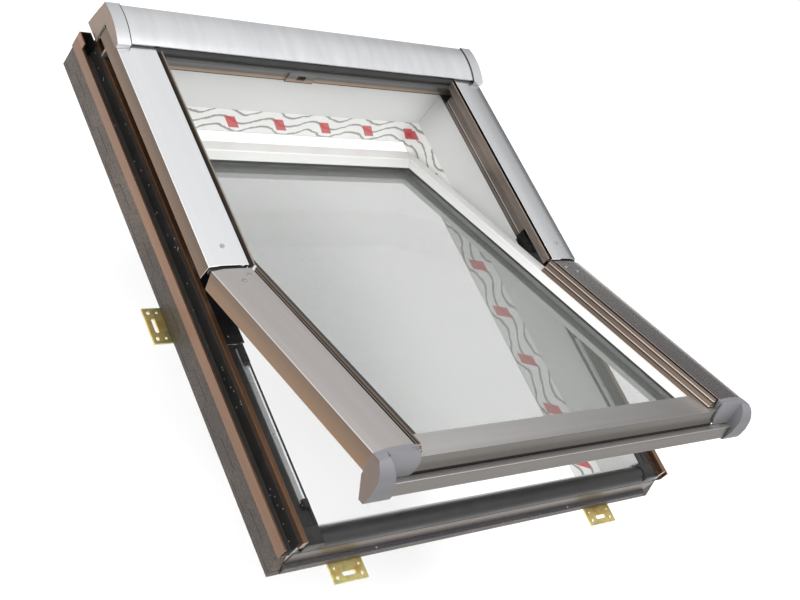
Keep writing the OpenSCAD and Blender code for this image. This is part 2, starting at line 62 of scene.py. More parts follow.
# ---------------------------------------------------------------- studio
# The window lies in the plane of its roof, held above a pale floor. The camera looks down
# on it from the lower left, under one broad soft lamp and two fill lamps.
bpy.context.scene.view_settings.view_transform = "Standard"
camera_place = (-1.42214, -0.91849, 1.39362)
camera_right = Vector((0.743286, -0.399310, 0.536629))
camera_up = Vector((0.034440, 0.823965, 0.565647))
camera_back = camera_right.cross(camera_up)
camera_turn = Matrix((camera_right, camera_up, camera_back)).transposed().to_4x4()
camera = bpy.data.objects.new("camera", bpy.data.cameras.new("camera"))
camera.data.sensor_width = 36
camera.data.lens = 59.49
camera.data.clip_start = 0.05
camera.data.clip_end = 40
camera.matrix_world = Matrix.Translation(camera_place) @ camera_turn
bpy.context.scene.collection.objects.link(camera)
bpy.context.scene.camera = camera


def deselect():
    """Leaves nothing selected and no piece being edited."""
    if bpy.context.mode != "OBJECT":
        bpy.ops.object.mode_set(mode="OBJECT")
    bpy.ops.object.select_all(action="DESELECT")


def srgb(red, green, blue):
    """A paint colour as a screen shows it, 0 to 255, made the linear one that a shader takes."""
    linear = []
    for level in (red, green, blue):
        share = level / 255
        linear.append(share / 12.92 if level <= 10 else ((share + 0.055) / 1.055) ** 2.4)
    return (*linear, 1.0)


class Wire:
    """One output of a material's node, so that sums on it are written as sums."""

    def __init__(self, finish, socket):
        self.finish, self.socket = finish, socket

    def calculate(self, operation, first, second):
        return self.finish.add("Math", {"operation": operation}, {0: first, 1: second})

    def __add__(self, other):
        return self.calculate("ADD", self, other)

    def __radd__(self, other):
        return self.calculate("ADD", other, self)

    def __sub__(self, other):
        return self.calculate("SUBTRACT", self, other)

    def __rsub__(self, other):
        return self.calculate("SUBTRACT", other, self)

    def __mul__(self, other):
        return self.calculate("MULTIPLY", self, other)

    def __rmul__(self, other):
        return self.calculate("MULTIPLY", other, self)

    def __truediv__(self, other):
        return self.calculate("DIVIDE", self, other)

    def __rtruediv__(self, other):
        return self.calculate("DIVIDE", other, self)

    def __abs__(self):
        return self.calculate("ABSOLUTE", self, 0.0)

    def at_most(self, other):
        return self.calculate("MINIMUM", self, other)

    def rising(self, low, high):
        """0 below low, 1 above high, and smooth between."""
        return self.finish.add("MapRange", {"interpolation_type": "SMOOTHSTEP"},
                               {"Value": self, "From Min": low, "From Max": high})


class Finish:
    """A surface finish: one Principled shader and the nodes that feed it."""

    def __init__(self, name, **constants):
        self.material = bpy.data.materials.new(name)
        self.material.use_nodes = True
        self.tree = self.material.node_tree
        self.shader = self.tree.nodes["Principled BSDF"]
        for socket, value in constants.items():
            self.feed(socket.replace("_", " "), value)

    def add(self, kind, settings, inputs, output=0):
        """A shader node with its settings made first and its inputs joined after."""
        node = self.tree.nodes.new("ShaderNode" + kind)
        for setting, value in settings.items():
            if setting == "stops":
                while len(node.color_ramp.elements) < len(value):
                    node.color_ramp.elements.new(0.5)
                for element, (position, colour) in zip(node.color_ramp.elements, value):
                    element.position, element.color = position, colour
            else:
                setattr(node, setting, value)
        for socket, value in inputs.items():
            self.join(value, node.inputs[socket])
        return Wire(self, node.outputs[output])

    def join(self, value, socket):
        if isinstance(value, Wire):
            self.tree.links.new(value.socket, socket)
        else:
            socket.default_value = value

    def feed(self, socket, value):
        """Sets or wires one socket of the shader."""
        self.join(value, self.shader.inputs[socket])

    def place(self, turn=None):
        """Points on the piece, in the frame of the window or, with turn, in that of the shut sash."""
        points = self.add("TexCoord", {}, {}, "Object")
        if turn is None:
            return points
        return self.add("Mapping", {}, {"Vector": points, "Location": turn[0], "Rotation": turn[1]})

    def stretched(self, points, scale):
        return self.add("Mapping", {}, {"Vector": points, "Scale": scale})

    def axis(self, points, letter):
        return self.add("SeparateXYZ", {}, {0: points}, letter)

    def facing(self, letter):
        """The surface's own normal along one axis, the same at every pose."""
        return self.axis(self.add("TexCoord", {}, {}, "Normal"), letter)

    def noise(self, points, scale, detail=3.0, roughness=0.5):
        """Soft clouds, scale of them to the metre."""
        inputs = {"Vector": points, "Scale": scale, "Detail": detail, "Roughness": roughness}
        return self.add("TexNoise", {}, inputs, "Fac")

    def cells(self, points, scale, measure="Distance"):
        """Grains, scale of them to the metre."""
        return self.add("TexVoronoi", {}, {"Vector": points, "Scale": scale}, measure)

    def flecks(self, points, scale, share, size):
        """A few of the grains, small and clear of each other: where share is passed, inside size."""
        chosen = self.add("SeparateColor", {}, {0: self.cells(points, scale, "Color")}, 0).rising(*share)
        return chosen * (1 - self.cells(points, scale).rising(*size))

    def to_and_fro(self, value, span):
        """A value folded into 0 to span and back again, over and over."""
        return self.add("Math", {"operation": "PINGPONG"}, {0: value, 1: span})

    def blend(self, first, second, share):
        """The first colour giving way to the second as share goes from 0 to 1."""
        return self.add("Mix", {"data_type": "RGBA"}, {0: share, 6: first, 7: second}, 2)

    def ramp(self, value, *stops):
        return self.add("ValToRGB", {"stops": stops}, {0: value}, 0)

    def bump(self, height, strength, distance):
        inputs = {"Height": height, "Strength": strength, "Distance": distance}
        self.feed("Normal", self.add("Bump", {}, inputs))


floor_drop = 0.33
floor_size = 24
deselect()
bpy.ops.mesh.primitive_plane_add(size=floor_size, location=(0, 0, cad_box[0].z - floor_drop))
floor = bpy.context.object
floor.name = "studio_floor"
floor_paint = Finish("studio_floor", Roughness=0.9, Base_Color=srgb(246, 246, 246))
floor.data.materials.append(floor_paint.material)


def lamp(name, place, size, power):
    """A square soft lamp at a place, aimed at the middle of the window."""
    data = bpy.data.lights.new(name, "AREA")
    data.shape = "SQUARE"
    data.size = size
    data.energy = power
    made = bpy.data.objects.new(name, data)
    made.location = place
    made.rotation_mode = "QUATERNION"
    made.rotation_quaternion = (-Vector(place)).to_track_quat("-Z", "Y")
    bpy.context.scene.collection.objects.link(made)


lamp("broad_lamp", (0.5, -0.7, 3.6), 2.2, 70)
lamp("left_lamp", (-2.6, 0.6, 2.2), 1.8, 34)
lamp("front_lamp", (-0.6, -2.8, 1.6), 1.6, 26)

# The sky is white overhead and pale at the horizon. Only the polished faces see the dark
# screen that stands low at the far right, which gives the metal its contrast.
world = bpy.data.worlds.new("studio")
bpy.context.scene.world = world
world.use_nodes = True
sky = world.node_tree


def sky_node(kind, settings, inputs, output=0):
    """A node of the sky, made as a finish's nodes are."""
    node = sky.nodes.new("ShaderNode" + kind)
    for setting, value in settings.items():
        setattr(node, setting, value)
    for socket, value in inputs.items():
        if isinstance(value, bpy.types.NodeSocket):
            sky.links.new(value, node.inputs[socket])
        else:
            node.inputs[socket].default_value = value
    return node.outputs[output]


def sky_step(value, low, high):
    """0 at low, 1 at high, and smooth between."""
    settings = {"interpolation_type": "SMOOTHSTEP"}
    return sky_node("MapRange", settings, {"Value": value, "From Min": low, "From Max": high})


def sky_product(first, second):
    return sky_node("Math", {"operation": "MULTIPLY"}, {0: first, 1: second})


horizon_white = (0.70, 0.70, 0.71, 1)
overhead_white = (1.12, 1.12, 1.12, 1)
screen_black = (0.045, 0.046, 0.05, 1)
sky_strength = 0.95
heading = sky_node("TexCoord", {}, {}, "Generated")
east = sky_node("SeparateXYZ", {}, {0: heading}, "X")
north = sky_node("SeparateXYZ", {}, {0: heading}, "Y")
height = sky_node("SeparateXYZ", {}, {0: heading}, "Z")
turn = sky_node("Math", {"operation": "ARCTAN2"}, {0: north, 1: east})
screen = sky_product(sky_step(turn, 0.82, 0.66), sky_step(turn, -0.5, -0.2))
screen = sky_product(screen, sky_step(height, 0.46, 0.34))
screen = sky_product(screen, sky_node("LightPath", {}, {}, "Is Glossy Ray"))
whiteness = sky_step(height, 0.30, 0.72)
pale = sky_node("Mix", {"data_type": "RGBA"}, {0: whiteness, 6: horizon_white, 7: overhead_white}, 2)
shade = sky_node("Mix", {"data_type": "RGBA"}, {0: screen, 6: pale, 7: screen_black}, 2)
sky.links.new(shade, sky.nodes["Background"].inputs["Color"])
sky.nodes["Background"].inputs["Strength"].default_value = sky_strength

# ---------------------------------------------------------------- white frame profiles
# Four extruded rigid PVC bars, white through and through, cut to a mitre and welded at
# the corners. The weld stays as a fine groove, and the room side is a plain lining.
bodies = frame["record"]["behaviour"]["bodies"]
body_of = {node: body for body, members in bodies.items() for node in members}

# patterns on the sash are laid out on the shut sash, so they are turned back about its pivot
pivot = next(joint for joint in frame["joints"] if joint["name"] == "sash_pivot")
pivot_place = Vector(pivot["pos_m"])
sash_open = math.radians(-pivot["range_deg"][0])
shutting = Matrix.Rotation(sash_open, 3, "X")
to_flat_sash = (tuple(pivot_place - shutting @ pivot_place), (sash_open, 0, 0))


def edit(piece):
    """Goes into edit mode on this piece alone, with all of it selected."""
    deselect()
    piece.select_set(True)
    bpy.context.view_layer.objects.active = piece
    bpy.ops.object.mode_set(mode="EDIT")
    bpy.ops.mesh.select_all(action="SELECT")


def apply(piece, kind, **settings):
    """Adds a modifier and applies it."""
    deselect()
    piece.select_set(True)
    bpy.context.view_layer.objects.active = piece
    modifier = piece.modifiers.new(kind.lower(), kind)
    for setting, value in settings.items():
        setattr(modifier, setting, value)
    bpy.ops.object.modifier_apply(modifier=modifier.name)


def finish_piece(piece, finish, body):
    """Sets a new piece's shading, finish and body, with its place baked into its mesh."""
    crease = math.radians(38)
    deselect()
    piece.select_set(True)
    bpy.context.view_layer.objects.active = piece
    bpy.ops.object.transform_apply(location=True, rotation=True, scale=True)
    bpy.ops.object.shade_smooth_by_angle(angle=crease)
    piece.data.materials.clear()
    piece.data.materials.append(finish.material)
    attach(piece, body)


def rounded(node, finish, width, segments=2):
    """The node's own shape with its sharp edges rounded to width, in the node's place."""
    nearly_flat = math.radians(0.4)
    sharp = math.radians(32)
    piece = bpy.data.objects.new(node + "_finished", frame["nodes"][node].data.copy())
    bpy.context.scene.collection.objects.link(piece)
    edit(piece)
    bpy.ops.mesh.remove_doubles(threshold=0.00001)
    bpy.ops.mesh.dissolve_limited(angle_limit=nearly_flat)
    bpy.ops.object.mode_set(mode="OBJECT")
    apply(piece, "BEVEL", width=width, segments=segments, limit_method="ANGLE", angle_limit=sharp,
          miter_outer="MITER_ARC")
    finish_piece(piece, finish, body_of[node])
    apply(piece, "WEIGHTED_NORMAL", keep_sharp=True)
    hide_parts(node)


def white_plastic(name, turn=None):
    """Rigid white PVC: a slight cloudiness, faint dust, and the fine skin of an extrusion."""
    finish = Finish(name, IOR=1.5, Coat_Weight=0.25, Coat_Roughness=0.12)
    points = finish.place(turn)
    cloud = finish.noise(points, 5.0, 3.0)
    dust = finish.noise(points, 260.0, 4.0, 0.7).rising(0.62, 0.80) * cloud.rising(0.45, 0.75)
    white = finish.blend(srgb(208, 209, 207), srgb(222, 223, 221), cloud)
    finish.feed("Base Color", finish.blend(white, srgb(196, 194, 188), dust * 0.35))
    finish.feed("Roughness", 0.26 + cloud * 0.12 + dust * 0.2)
    drawn = finish.noise(finish.stretched(points, (900, 900, 900)), 1.0, 2.0)
    finish.bump(drawn, 0.04, 0.0003)
    return finish


frame_plastic = white_plastic("white_frame_plastic")
for node in ("frame_head", "frame_sill", "frame_jamb_left", "frame_jamb_right"):
    rounded(node, frame_plastic, 0.0008)

# ---------------------------------------------------------------- protective film
# Thin white polythene film stuck on the room side of the lining for transport. It is
# printed with soft grey waves and short red dashes, and it is peeled off in use.
wave_spacing = 0.011
wave_swing = 0.009
dash_spacing = 0.052
dash_height = 0.013
dash_row = -0.028
film = Finish("printed_film", Roughness=0.32, IOR=1.46, Coat_Weight=0.2)
points = film.place()
crumple = film.noise(points, 26.0, 5.0, 0.6)
lengthways = film.axis(points, "X") + film.axis(points, "Y")
up = film.axis(points, "Z")
sway = film.add("Math", {"operation": "SINE"}, {0: lengthways * 62.0 + crumple * 3.0})
grey_wave = 1 - film.to_and_fro(up + sway * wave_swing, wave_spacing).rising(0.0018, 0.0032)
dash = film.to_and_fro(lengthways + up * 0.9, dash_spacing).rising(0.040, 0.042)
dash = dash * (1 - abs(up - dash_row).rising(dash_height, dash_height + 0.002))
paper = film.blend(srgb(232, 232, 230), srgb(247, 247, 245), crumple)
printed = film.blend(paper, srgb(128, 127, 126), grey_wave * 0.8)
film.feed("Base Color", film.blend(printed, srgb(196, 58, 62), dash * 0.9))
film.bump(crumple, 0.5, 0.0016)

side_clearance = 0.005
film_gap = 0.0004
film_thickness = 0.0003
film_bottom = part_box("frame_jamb_left")[0].z
film_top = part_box("flange_left")[0].z - 0.042
film_height = film_top - film_bottom - 0.003
left_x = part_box("sash_stile_left")[0].x - side_clearance
right_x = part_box("sash_stile_right")[1].x + side_clearance
head_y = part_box("frame_head")[1].y - 0.057
sill_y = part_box("frame_sill")[0].y + 0.040


def film_strip(name, start, end, inward):
    """One strip of film on a wall of the lining, from one top corner to the other."""
    deselect()
    bpy.ops.mesh.primitive_plane_add(size=1, location=(0, 0, 0))
    strip = bpy.context.object
    strip.name = name
    edit(strip)
    bpy.ops.mesh.subdivide(number_cuts=9)
    bpy.ops.object.mode_set(mode="OBJECT")
    start = Vector((*start, film_top))
    end = Vector((*end, film_top))
    run = (end - start).normalized()
    drop = Vector((0, 0, -1))
    corner = Matrix.Translation(start + Vector(inward) * film_gap)
    turn = Matrix((run, drop, run.cross(drop))).transposed().to_4x4()
    stretch = Matrix.Diagonal(((end - start).length, film_height, 1, 1))
    strip.matrix_world = corner @ turn @ stretch @ Matrix.Translation((0.5, 0.5, 0))
    deselect()
    strip.select_set(True)
    bpy.context.view_layer.objects.active = strip
    bpy.ops.object.transform_apply(location=True, rotation=True, scale=True)
    apply(strip, "SOLIDIFY", thickness=film_thickness, offset=0)
    edit(strip)
    bpy.ops.mesh.normals_make_consistent(inside=False)
    finish_piece(strip, film, "frame")


film_strip("film_head", (left_x, head_y), (right_x, head_y), (0, -1, 0))
film_strip("film_left", (left_x, sill_y), (left_x, head_y), (1, 0, 0))
film_strip("film_right", (right_x, head_y), (right_x, sill_y), (-1, 0, 0))
film_strip("film_sill", (right_x, sill_y), (left_x, sill_y), (0, 1, 0))

# ---------------------------------------------------------------- insulation blocks
# Moulded foam blocks, grey-brown with pale beads, glued round the frame. Their ends are
# cut like jigsaw pieces, which leaves thin dark lines.
joint_spacing = 0.055
joint_level = 0.012
joint_step = 0.014
foam = Finish("foam", IOR=1.45)
points = foam.place()
bead = foam.cells(points, 330.0)
tone = foam.noise(points, 14.0, 5.0, 0.65)
coarse = foam.noise(points, 70.0, 4.0, 0.7)
speck = foam.flecks(points, 150.0, (0.93, 0.97), (0.10, 0.28))
patch = foam.noise(points, 4.0, 3.0).rising(0.40, 0.62)
brown = foam.blend(srgb(40, 34, 29), srgb(112, 97, 85), tone * 0.3 + coarse * 0.3 + patch * 0.4)
brown = foam.blend(brown, srgb(40, 36, 33), bead.rising(0.25, 0.75) * 0.6)
# the dovetailed joints: a thin line that steps up and down every few centimetres
up = foam.axis(points, "Z")
tooth = foam.to_and_fro(foam.axis(points, "Y"), joint_spacing).rising(0.024, 0.031)
joint = 1 - abs(up - (joint_level + tooth * joint_step)).rising(0.0006, 0.0015)
side = 1 - abs(foam.facing("Z")).rising(0.3, 0.6)
brown = foam.blend(brown, srgb(24, 20, 18), joint * side * 0.85)
# the upward faces are painted a cool blue-grey: painted light from the sky
brown = foam.blend(brown, srgb(62, 66, 74), foam.facing("Z").rising(0.5, 0.8) * 0.7)
foam.feed("Base Color", foam.blend(brown, srgb(212, 206, 198), speck * 0.8))
foam.feed("Roughness", 0.62 - tone * 0.2)
foam.bump(bead * -1.0 + tone * 0.8 + coarse * 1.2 - joint * side * 2.0, 0.5, 0.0014)
for node in ("insulation_head", "insulation_sill", "insulation_left", "insulation_right"):
    rounded(node, foam, 0.0012)

# ---------------------------------------------------------------- flanges, gutters and inner lips
# Folded lacquered sheet: an outer flange for the flashing, a black plastic gutter in it,
# and a thin inner lip. The lacquer is a dark metallic brown that picks up a bronze glint.


def lacquer(name, dark, light, grain, rough, metallic):
    """Metallic lacquer on folded sheet, with the fine flake and the long streaks of a rolled strip."""
    finish = Finish(name, Metallic=metallic, Coat_Weight=0.3, Coat_Roughness=0.15)
    points = finish.place()
    streak = finish.noise(finish.stretched(points, (60, 2.2, 60)), 1.0, 3.0)
    flake = finish.noise(points, 2600.0, 1.0)
    finish.feed("Base Color", finish.blend(dark, light, (streak * 0.8 + flake * 0.35).at_most(1.0)))
    finish.feed("Roughness", rough + streak * grain)
    finish.bump(flake, 0.05, 0.0002)
    return finish


brown_sheet = lacquer("brown_sheet", srgb(64, 50, 41), srgb(142, 104, 76), 0.10, 0.28, 0.75)
for node in ("flange_left", "flange_right", "inner_lip_left", "inner_lip_right"):
    rounded(node, brown_sheet, 0.0003)

# the corner piece is brown outside this distance from the middle, and black in its channel
channel_x = 0.4035
corner_sheet = Finish("corner_sheet", Metallic=0.3, Coat_Weight=0.3)
points = corner_sheet.place()
rub = corner_sheet.noise(points, 45.0, 4.0, 0.6)
outside = abs(corner_sheet.axis(points, "X")).rising(channel_x, channel_x + 0.0004)
black = corner_sheet.blend(srgb(16, 16, 17), srgb(44, 42, 40), rub)
brown = corner_sheet.blend(srgb(96, 66, 48), srgb(150, 104, 72), rub)
corner_sheet.feed("Base Color", corner_sheet.blend(black, brown, outside))
corner_sheet.feed("Roughness", 0.25 + rub * 0.2)
corner_sheet.bump(rub, 0.1, 0.0005)
rounded("gutter_ends", corner_sheet, 0.0003)

# the gutters and guide blocks have pale crumbs and grime in them
black_plastic = Finish("black_plastic", IOR=1.5)
points = black_plastic.place()
grime = black_plastic.noise(points, 30.0, 4.0, 0.6)
crumb = black_plastic.flecks(points, 210.0, (0.95, 0.98), (0.12, 0.30))
dark = black_plastic.blend(srgb(24, 24, 24), srgb(52, 50, 48), grime)
black_plastic.feed("Base Color", black_plastic.blend(dark, srgb(190, 186, 178), crumb))
black_plastic.feed("Roughness", 0.32 + grime * 0.25)
black_plastic.bump(grime, 0.15, 0.0008)
for node in ("gutter_left", "gutter_right", "guide_blocks"):
    rounded(node, black_plastic, 0.0003)

# the strip on the sill's outer face is the darkest of the sheets and the dirtiest
sill_sheet = Finish("sill_sheet", Metallic=0.3, Coat_Weight=0.2)
points = sill_sheet.place()
smear = sill_sheet.noise(sill_sheet.stretched(points, (5, 60, 60)), 1.0, 4.0, 0.6)
sill_sheet.feed("Base Color", sill_sheet.blend(srgb(38, 33, 29), srgb(98, 86, 76), smear))
sill_sheet.feed("Roughness", 0.35 + smear * 0.25)
sill_sheet.bump(smear, 0.2, 0.0006)
rounded("sill_cladding", sill_sheet, 0.0003)

# ---------------------------------------------------------------- gaskets
# Extruded black rubber: two strips in the rebate of the jambs, a roll along the sill,
# the hood's seal and the thin wedge round the outer pane.
rubber = Finish("rubber", IOR=1.5)
points = rubber.place()
bloom = rubber.noise(points, 40.0, 4.0, 0.6)
rubber.feed("Base Color", rubber.blend(srgb(26, 26, 27), srgb(50, 49, 48), bloom))
rubber.feed("Roughness", 0.30 + bloom * 0.22)
rubber.bump(rubber.noise(rubber.stretched(points, (4, 300, 300)), 1.0, 2.0), 0.10, 0.0004)
for node in ("rebate_gasket_left", "rebate_gasket_right", "sill_roll_gasket", "hood_seal", "glazing_gasket"):
    rounded(node, rubber, 0.0003)


def rubber_block(name, low, high, lip):
    """A moulded rubber block with a shallow tray in its top, between two corners."""
    deselect()
    middle = [(a + b) / 2 for a, b in zip(low, high)]
    bpy.ops.mesh.primitive_cube_add(size=1, location=middle, scale=[b - a for a, b in zip(low, high)])
    block = bpy.context.object
    block.name = name
    bpy.ops.object.transform_apply(location=True, rotation=True, scale=True)
    edit(block)
    bpy.ops.mesh.select_mode(type="FACE")
    bpy.ops.mesh.select_all(action="DESELECT")
    bpy.ops.object.mode_set(mode="OBJECT")
    for face in block.data.polygons:
        face.select = face.normal.z > 0.9
    bpy.ops.object.mode_set(mode="EDIT")
    bpy.ops.mesh.inset(thickness=lip)
    bpy.ops.mesh.extrude_region_move(TRANSFORM_OT_translate={"value": (0, 0, -lip * 0.4)})
    bpy.ops.object.mode_set(mode="OBJECT")
    apply(block, "BEVEL", width=lip * 0.3, segments=2, limit_method="ANGLE")
    finish_piece(block, rubber, "frame")


def rubber_pair(name, low, high, lip):
    """The block on the right, and its mirror image on the left."""
    rubber_block(name + "_right", low, high, lip)
    rubber_block(name + "_left", (-high[0], low[1], low[2]), (-low[0], high[1], high[2]), lip)


# a pad closes each lower corner, and a strip lies under the joint of the side covers
jamb_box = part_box("frame_jamb_right")
sill_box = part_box("frame_sill")
cover_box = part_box("upper_cover_right")
pad_low = (jamb_box[1].x - 0.0414, sill_box[0].y - 0.0018, sill_box[1].z - 0.002)
pad_high = (jamb_box[1].x - 0.0104, sill_box[0].y + 0.0270, jamb_box[1].z + 0.0016)
strip_low = (cover_box[0].x + 0.0022, cover_box[0].y - 0.0047, cover_box[1].z - 0.0155)
strip_high = (cover_box[1].x - 0.0020, cover_box[0].y + 0.0030, cover_box[1].z - 0.0070)
rubber_pair("corner_pad", pad_low, pad_high, 0.003)
rubber_pair("pivot_strip", strip_low, strip_high, 0.0015)

# ---------------------------------------------------------------- steel fittings
# Bright zinc-plated steel: a folded guide rail on each jamb, and the latch bolt. The plates
# and arms of the crescent hinges are of the same steel, oiled black and screwed on.
steel = Finish("plated_steel", Metallic=1.0)
points = steel.place()
brushed = steel.noise(steel.stretched(points, (900, 12, 900)), 1.0, 2.0)
spangle = steel.noise(points, 60.0, 3.0)
steel.feed("Base Color", steel.blend(srgb(176, 178, 180), srgb(214, 215, 216), brushed * 0.6 + spangle * 0.4))
steel.feed("Roughness", 0.22 + spangle * 0.16)
steel.bump(brushed, 0.06, 0.0002)
for node in ("rail_left", "rail_right", "latch_bolt"):
    rounded(node, steel, 0.0003)

# the hinges
black_steel = Finish("black_steel", Metallic=0.8)
points = black_steel.place()
oil = black_steel.noise(points, 70.0, 3.0)
black_steel.feed("Base Color", black_steel.blend(srgb(34, 34, 36), srgb(74, 74, 76), oil))
black_steel.feed("Roughness", 0.28 + oil * 0.2)
black_steel.bump(black_steel.noise(points, 900.0, 2.0), 0.06, 0.0002)
for node in ("hinge_plate_left", "hinge_plate_right", "hinge_arm_left", "hinge_arm_right"):
    rounded(node, black_steel, 0.0003)

# ---------------------------------------------------------------- carriers under the covers
# Folded sheet that stands round the opening and carries the covers. The brown side walls
# are rolled with fine steps, and the sash has its own pair.


def ribbed(name, levels, dark, light, turn=None):
    """Lacquered sheet with a rolled step at each level: a painted highlight line, and a painted shadow line under
    it.
    """
    finish = Finish(name, Metallic=0.7, Coat_Weight=0.3, Coat_Roughness=0.12)
    points = finish.place(turn)
    streak = finish.noise(finish.stretched(points, (60, 2.2, 60)), 1.0, 3.0)
    up = finish.axis(points, "Z")
    painted_step_highlight, shadow = 0.0, 0.0
    # each step gets a painted highlight line on it and a painted shadow line just under it
    for level in levels:
        painted_step_highlight = painted_step_highlight + (1 - abs(up - level).rising(0.0003, 0.0010))
        shadow = shadow + (1 - abs(up - (level - 0.0020)).rising(0.0005, 0.0013))
    colour = finish.blend(dark, light, streak)
    colour = finish.blend(colour, srgb(30, 26, 24), shadow * 0.8)
    finish.feed("Base Color", finish.blend(colour, srgb(226, 220, 214), painted_step_highlight * 0.85))
    finish.feed("Roughness", 0.24 + streak * 0.1)
    finish.bump(painted_step_highlight - shadow, 0.6, 0.0006)
    return finish


frame_steps = (0.1105, 0.0985, 0.0800)
sash_steps = (0.1268, 0.1180)
carrier_sheet = ribbed("carrier_sheet", frame_steps, srgb(98, 88, 81), srgb(142, 130, 120))
sash_carrier_sheet = ribbed("sash_carrier_sheet", sash_steps, srgb(92, 76, 64), srgb(140, 120, 104),
                            to_flat_sash)
for node in ("upper_carrier_left", "upper_carrier_right"):
    rounded(node, carrier_sheet, 0.0003)
for node in ("lower_carrier_left", "lower_carrier_right"):
    rounded(node, sash_carrier_sheet, 0.0003)

# the head carrier and its strike plate are grey, with a tan line along the lip. A near-black band at the foot
# is painted shade, and above the tan line the grey is painted lighter in the middle and darker towards the top:
# painted light and shade.
lip_z = 0.066
head_wall = 0.054
head_sheet = Finish("head_sheet", Metallic=0.5, Coat_Weight=0.2)
points = head_sheet.place()
tan_line_and_painted_shade = head_sheet.ramp((head_sheet.axis(points, "Z") - lip_z) / head_wall,
                        (0.00, srgb(24, 23, 22)),
                        (0.06, srgb(28, 26, 25)),
                        (0.09, srgb(186, 160, 136)),
                        (0.19, srgb(170, 146, 126)),
                        (0.22, srgb(112, 111, 110)),
                        (0.60, srgb(150, 149, 147)),
                        (0.82, srgb(118, 117, 116)),
                        (0.95, srgb(84, 84, 85)))
cloud = head_sheet.noise(points, 12.0)
head_sheet.feed("Base Color", head_sheet.blend(tan_line_and_painted_shade, srgb(120, 118, 116), cloud * 0.2))
head_sheet.feed("Roughness", 0.3 + head_sheet.noise(points, 40.0) * 0.15)
head_sheet.bump(head_sheet.noise(points, 1400.0, 2.0), 0.05, 0.0002)
for node in ("head_carrier", "strike_plate"):
    rounded(node, head_sheet, 0.0003)

# ---------------------------------------------------------------- side covers
# Folded aluminium covers clipped over the carriers: a wide top face, a narrow outer facet
# and a deep outer wall. The two on the frame are silver, and the two on the sash darker.


fold_x = 0.3890
wall_top = 0.122
wall_bottom = 0.098


def cover_lacquer(name, top, painted_wall_reflection, turn=None):
    """Satin metallic lacquer that is pale on the faces; the brown on the upright walls is a painted reflection."""
    finish = Finish(name, Metallic=0.92, Coat_Weight=0.15, Coat_Roughness=0.2)
    points = finish.place(turn)
    upright = abs(finish.facing("X")).rising(0.80, 0.95)
    streak = finish.noise(finish.stretched(points, (70, 1.6, 70)), 1.0, 3.0)
    flake = finish.noise(points, 2400.0, 1.0)
    metal = finish.blend(top[0], top[1], streak * 0.7 + flake * 0.3)
    # the painted brown reflection runs to orange towards the lower edge of the wall
    depth = finish.axis(points, "Z").rising(wall_top, wall_bottom)
    brown = finish.blend(painted_wall_reflection[0], painted_wall_reflection[1], streak * 0.5 + depth * 0.5)
    # a painted highlight runs along the fold
    from_fold = abs(abs(finish.axis(points, "X")) - fold_x)
    painted_fold_highlight = (1 - from_fold.rising(0.0003, 0.0013)) * (1 - upright)
    colour = finish.blend(metal, brown, upright)
    finish.feed("Base Color", finish.blend(colour, srgb(240, 236, 232), painted_fold_highlight * 0.7))
    finish.feed("Roughness", 0.21 + flake * 0.07)
    finish.bump(flake, 0.04, 0.0002)
    return finish


silver = (srgb(204, 205, 207), srgb(226, 227, 228))
# the wall colours are painted reflections of brown surroundings
silver_wall_reflection = (srgb(82, 70, 63), srgb(120, 98, 80))
taupe = (srgb(178, 172, 168), srgb(206, 201, 197))
taupe_wall_reflection = (srgb(92, 80, 73), srgb(134, 108, 84))
silver_cover = cover_lacquer("silver_cover", silver, silver_wall_reflection)
taupe_cover = cover_lacquer("taupe_cover", taupe, taupe_wall_reflection, to_flat_sash)
for node in ("upper_cover_left", "upper_cover_right"):
    rounded(node, silver_cover, 0.0007)
for node in ("lower_cover_left", "lower_cover_right"):
    rounded(node, taupe_cover, 0.0007)

# ---------------------------------------------------------------- hood
# A rolled aluminium hood, lacquered silver, over the head of the frame. It is pressed on its
# seal and closed at each end by a cast cap.
hood_lacquer = lacquer("hood_lacquer", srgb(186, 188, 190), srgb(216, 217, 219), 0.06, 0.26, 0.92)
rounded("hood", hood_lacquer, 0.0008)

# each cap's end is painted brown, a painted reflection as on the cover walls, with a dark slit where it meets the
# hood
slit_x = 0.3688
cap_lacquer = Finish("cap_lacquer", Metallic=0.8, Coat_Weight=0.2)
points = cap_lacquer.place()
grain = cap_lacquer.noise(points, 1300.0, 2.0)
end = abs(cap_lacquer.facing("X")).rising(0.75, 0.92)
slit = 1 - abs(abs(cap_lacquer.axis(points, "X")) - slit_x).rising(0.0006, 0.0012)
silver = cap_lacquer.blend(srgb(176, 178, 180), srgb(198, 199, 201), grain)
brown = cap_lacquer.blend(srgb(104, 88, 78), srgb(146, 126, 112), cap_lacquer.noise(points, 12.0))
lacquered = cap_lacquer.blend(silver, brown, end)
cap_lacquer.feed("Base Color", cap_lacquer.blend(lacquered, srgb(40, 40, 42), slit))
cap_lacquer.feed("Roughness", 0.30 + grain * 0.12)
cap_lacquer.bump(grain, 0.06, 0.0002)
for node in ("hood_cap_left", "hood_cap_right"):
    rounded(node, cap_lacquer, 0.0010)

# ---------------------------------------------------------------- fixing brackets
# Pressed steel plates in yellow passivated zinc, whose film shimmers from gold to green
# and rose. Each is screwed to the frame and, through its open holes, to the battens.
zinc = Finish("yellow_zinc", Metallic=0.9)
points = zinc.place()
cloud = zinc.noise(points, 55.0)
shimmer = zinc.ramp(cloud,
                    (0.25, srgb(196, 160, 84)),
                    (0.50, srgb(214, 196, 132)),
                    (0.62, srgb(176, 176, 120)),
                    (0.78, srgb(204, 150, 120)))
zinc.feed("Base Color", shimmer)
zinc.feed("Roughness", 0.25 + cloud * 0.2)
zinc.bump(zinc.noise(points, 500.0, 2.0), 0.08, 0.0003)
for node in ("fixing_brackets", "bracket_screws"):
    rounded(node, zinc, 0.0004)

